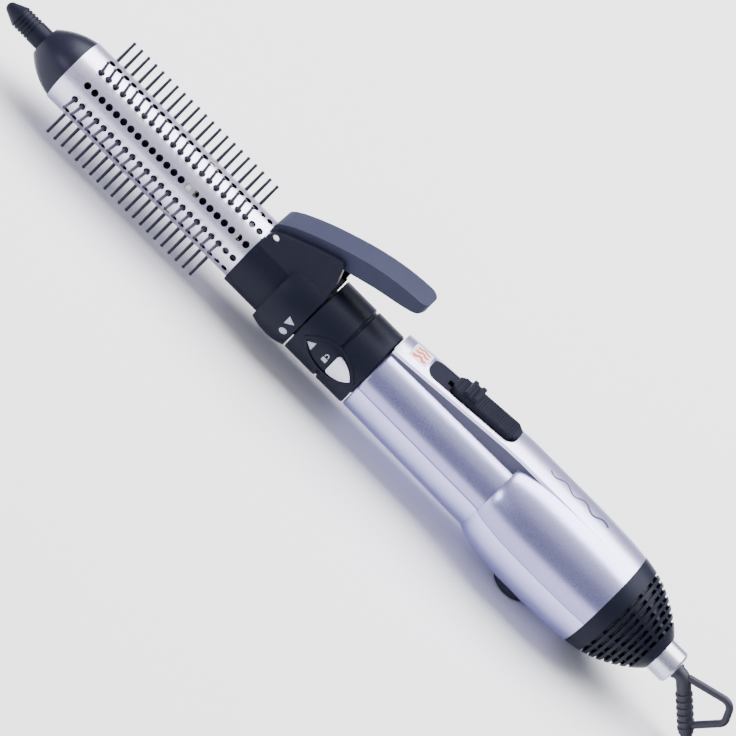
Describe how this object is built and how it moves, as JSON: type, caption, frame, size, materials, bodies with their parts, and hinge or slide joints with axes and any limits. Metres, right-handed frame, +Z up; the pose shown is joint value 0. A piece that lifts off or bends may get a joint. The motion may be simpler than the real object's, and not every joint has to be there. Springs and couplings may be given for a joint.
{
  "type": "hot air brush",
  "caption": "Hot-air styling brush: metal handle with slide switch, release button, rear grille and swivel cord, and a pierced barrel whose bristles draw in by a lever.",
  "frame": {"origin": "on the surface that the tool stands on, under the middle of its length without the cord", "axes": "+X along the tool from the cool tip towards the cord, +Z up out of the switch side, -Y the side with the release button"},
  "size_m": [0.565, 0.0704, 0.0679],
  "materials": {
    "barrel": "satin lilac-silver anodised aluminium",
    "black_plastic": "satin black moulded plastic",
    "dome": "satin black moulded plastic",
    "bristle": "black nylon",
    "lever": "fine textured slate plastic",
    "shell": "lilac metallic lacquer",
    "strip": "pale lilac metallic lacquer",
    "slate": "slate grey plastic",
    "silver": "silver lacquer",
    "steel": "bright steel",
    "brass": "plain brass",
    "white_plastic": "off-white heat-resistant plastic",
    "mica": "mica board",
    "board": "green circuit board",
    "filter": "dark mesh",
    "rubber": "black rubber",
    "cord": "black flexible cord sheath"
  },
  "bodies": {
    "handle": {"nozzle_ring": "black_plastic", "handle_collar": "black_plastic", "release_bezel": "black_plastic", "latch_spring": "steel", "nozzle_tube": "black_plastic", "lower_shell": "shell", "upper_shell": "shell", "strip_side_walls": "slate", "control_strip": "strip", "switch_track": "black_plastic", "rest_foot": "rubber", "shell_screws": "steel", "rear_grille": "black_plastic", "dust_filter": "filter", "cord_ferrule": "silver", "motor": "steel", "motor_mount": "white_plastic", "heat_shield": "mica", "heater_core": "mica", "heater_wire": "brass", "thermostat": "steel", "circuit_board": "board", "switch_module": "black_plastic", "internal_leads": "rubber"},
    "brush": {"brush_barrel": "barrel", "tip_dome": "dome", "tip_knob": "black_plastic", "tip_screw": "steel", "brush_collar": "black_plastic", "collar_ring": "black_plastic", "front_guide": "white_plastic", "mid_guide": "white_plastic", "rear_guide": "white_plastic", "lever_pin": "steel", "lever_spring": "steel"},
    "lever": {"lever": "lever", "crank_pin": "steel"},
    "cam": {"cam_rod": "steel"},
    "release": {"release_button": "silver", "release_latch": "black_plastic"},
    "switch": {"slide_button": "slate"},
    "fan": {"fan_impeller": "white_plastic", "motor_shaft": "steel"},
    "swivel": {"cord_guard": "rubber", "hanging_loop": "rubber", "cord_lead": "cord", "cord_tail": "cord", "cord_coil": "cord", "cord_tie": "rubber", "plug_body": "black_plastic", "plug_pins": "brass"},
    "bristles_1": {"bristle_carrier_1": "bristle"},
    "bristles_2": {"bristle_carrier_2": "bristle"},
    "bristles_3": {"bristle_carrier_3": "bristle"},
    "bristles_4": {"bristle_carrier_4": "bristle"},
    "bristles_5": {"bristle_carrier_5": "bristle"},
    "bristles_6": {"bristle_carrier_6": "bristle"}
  },
  "joints": [
    {"name": "brush_pull_off", "type": "slide", "parent": "handle", "child": "brush", "axis": [-1, 0, 0], "range_m": [0, 0.02]},
    {"name": "lever_press", "type": "hinge", "parent": "brush", "child": "lever", "pos_m": [-0.0606, 0, 0.0439], "axis": [0, 1, 0], "range_deg": [0, 12], "stiffness_Nm_per_rad": 0.5, "springref_deg": -20.05},
    {"name": "cam_slide", "type": "slide", "parent": "brush", "child": "cam", "axis": [-1, 0, 0], "range_m": [0, 0.00397]},
    {"name": "release_press", "type": "slide", "parent": "handle", "child": "release", "axis": [0, 1, 0], "range_m": [0, 0.0012], "stiffness_N_per_m": 600, "springref_m": -0.001},
    {"name": "switch_slide", "type": "slide", "parent": "handle", "child": "switch", "axis": [-0.9962, 0, -0.0872], "range_m": [0, 0.0112]},
    {"name": "fan_spin", "type": "hinge", "parent": "handle", "child": "fan", "pos_m": [0.0866, 0, 0.0272], "axis": [1, 0, 0], "continuous": true},
    {"name": "cord_swivel", "type": "hinge", "parent": "handle", "child": "swivel", "pos_m": [0.1666, 0, 0.0272], "axis": [1, 0, 0], "continuous": true},
    {"name": "bristles_1_draw_in", "type": "slide", "parent": "brush", "child": "bristles_1", "axis": [0, 0.5, -0.866], "range_m": [0, 0.009]},
    {"name": "bristles_2_draw_in", "type": "slide", "parent": "brush", "child": "bristles_2", "axis": [0, 1, 0], "range_m": [0, 0.009]},
    {"name": "bristles_3_draw_in", "type": "slide", "parent": "brush", "child": "bristles_3", "axis": [0, 0.5, 0.866], "range_m": [0, 0.009]},
    {"name": "bristles_4_draw_in", "type": "slide", "parent": "brush", "child": "bristles_4", "axis": [0, -0.5, 0.866], "range_m": [0, 0.009]},
    {"name": "bristles_5_draw_in", "type": "slide", "parent": "brush", "child": "bristles_5", "axis": [0, -1, 0], "range_m": [0, 0.009]},
    {"name": "bristles_6_draw_in", "type": "slide", "parent": "brush", "child": "bristles_6", "axis": [0, -0.5, -0.866], "range_m": [0, 0.009]}
  ],
  "couplings": [
    {"joint": "cam_slide", "follows": "lever_press", "m_per_rad": 0.018959},
    {"joint": "bristles_1_draw_in", "follows": "lever_press", "m_per_rad": 0.042972},
    {"joint": "bristles_2_draw_in", "follows": "lever_press", "m_per_rad": 0.042972},
    {"joint": "bristles_3_draw_in", "follows": "lever_press", "m_per_rad": 0.042972},
    {"joint": "bristles_4_draw_in", "follows": "lever_press", "m_per_rad": 0.042972},
    {"joint": "bristles_5_draw_in", "follows": "lever_press", "m_per_rad": 0.042972},
    {"joint": "bristles_6_draw_in", "follows": "lever_press", "m_per_rad": 0.042972}
  ]
}
